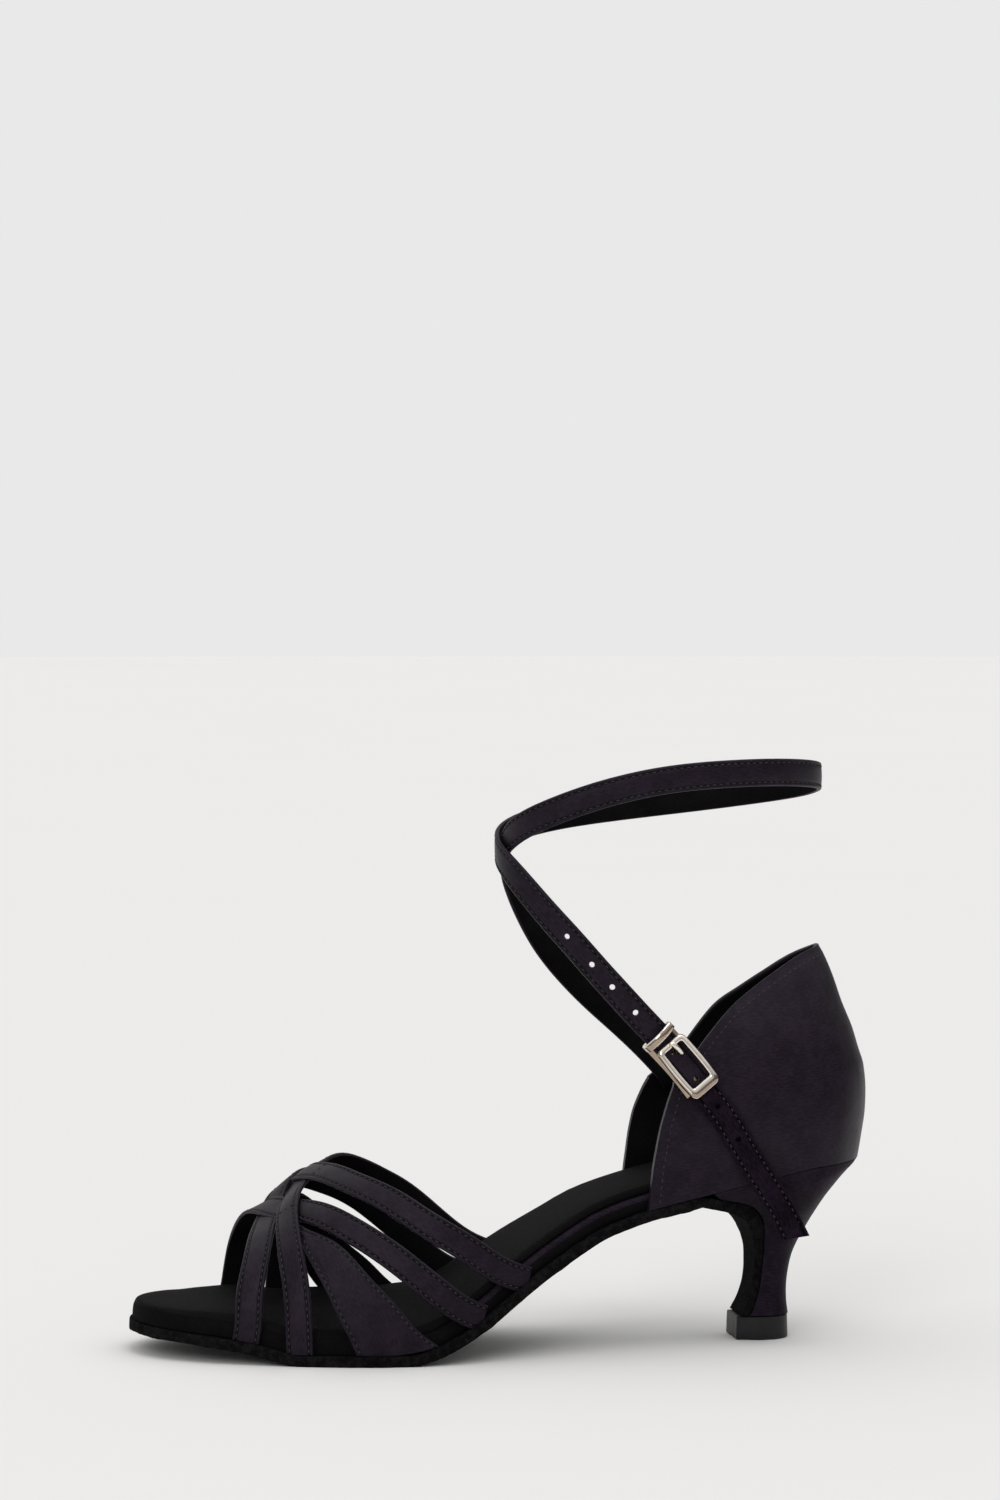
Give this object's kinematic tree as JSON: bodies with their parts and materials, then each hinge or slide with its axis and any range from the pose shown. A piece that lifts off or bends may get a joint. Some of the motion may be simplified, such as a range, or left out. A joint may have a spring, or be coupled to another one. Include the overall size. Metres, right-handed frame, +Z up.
{
  "type": "ballroom dance shoe",
  "caption": "Open-toe ballroom dance shoe with crossed satin straps over the foot, a closed heel counter, a long wraparound ankle strap with a buckle, and a flared heel.",
  "frame": {"origin": "centre of the heel tip's tread, on the floor", "axes": "-X to the toe, -Y to the little-toe side of this left shoe, +Z up"},
  "size_m": [0.2333, 0.0796, 0.1846],
  "materials": {
    "satin": "satin",
    "lining": "satin",
    "suede": "matte",
    "cap_plastic": "satin",
    "nickel": "polished"
  },
  "bodies": {
    "root": {"outsole": "suede", "insole": "satin", "sock": "lining", "vamp": "satin", "quarter": "satin", "heel": "satin", "heel_cap": "cap_plastic", "ankle_strap": "satin", "buckle_frame": "nickel", "buckle_prong": "nickel", "buckle_keeper": "nickel"}
  },
  "joints": []
}
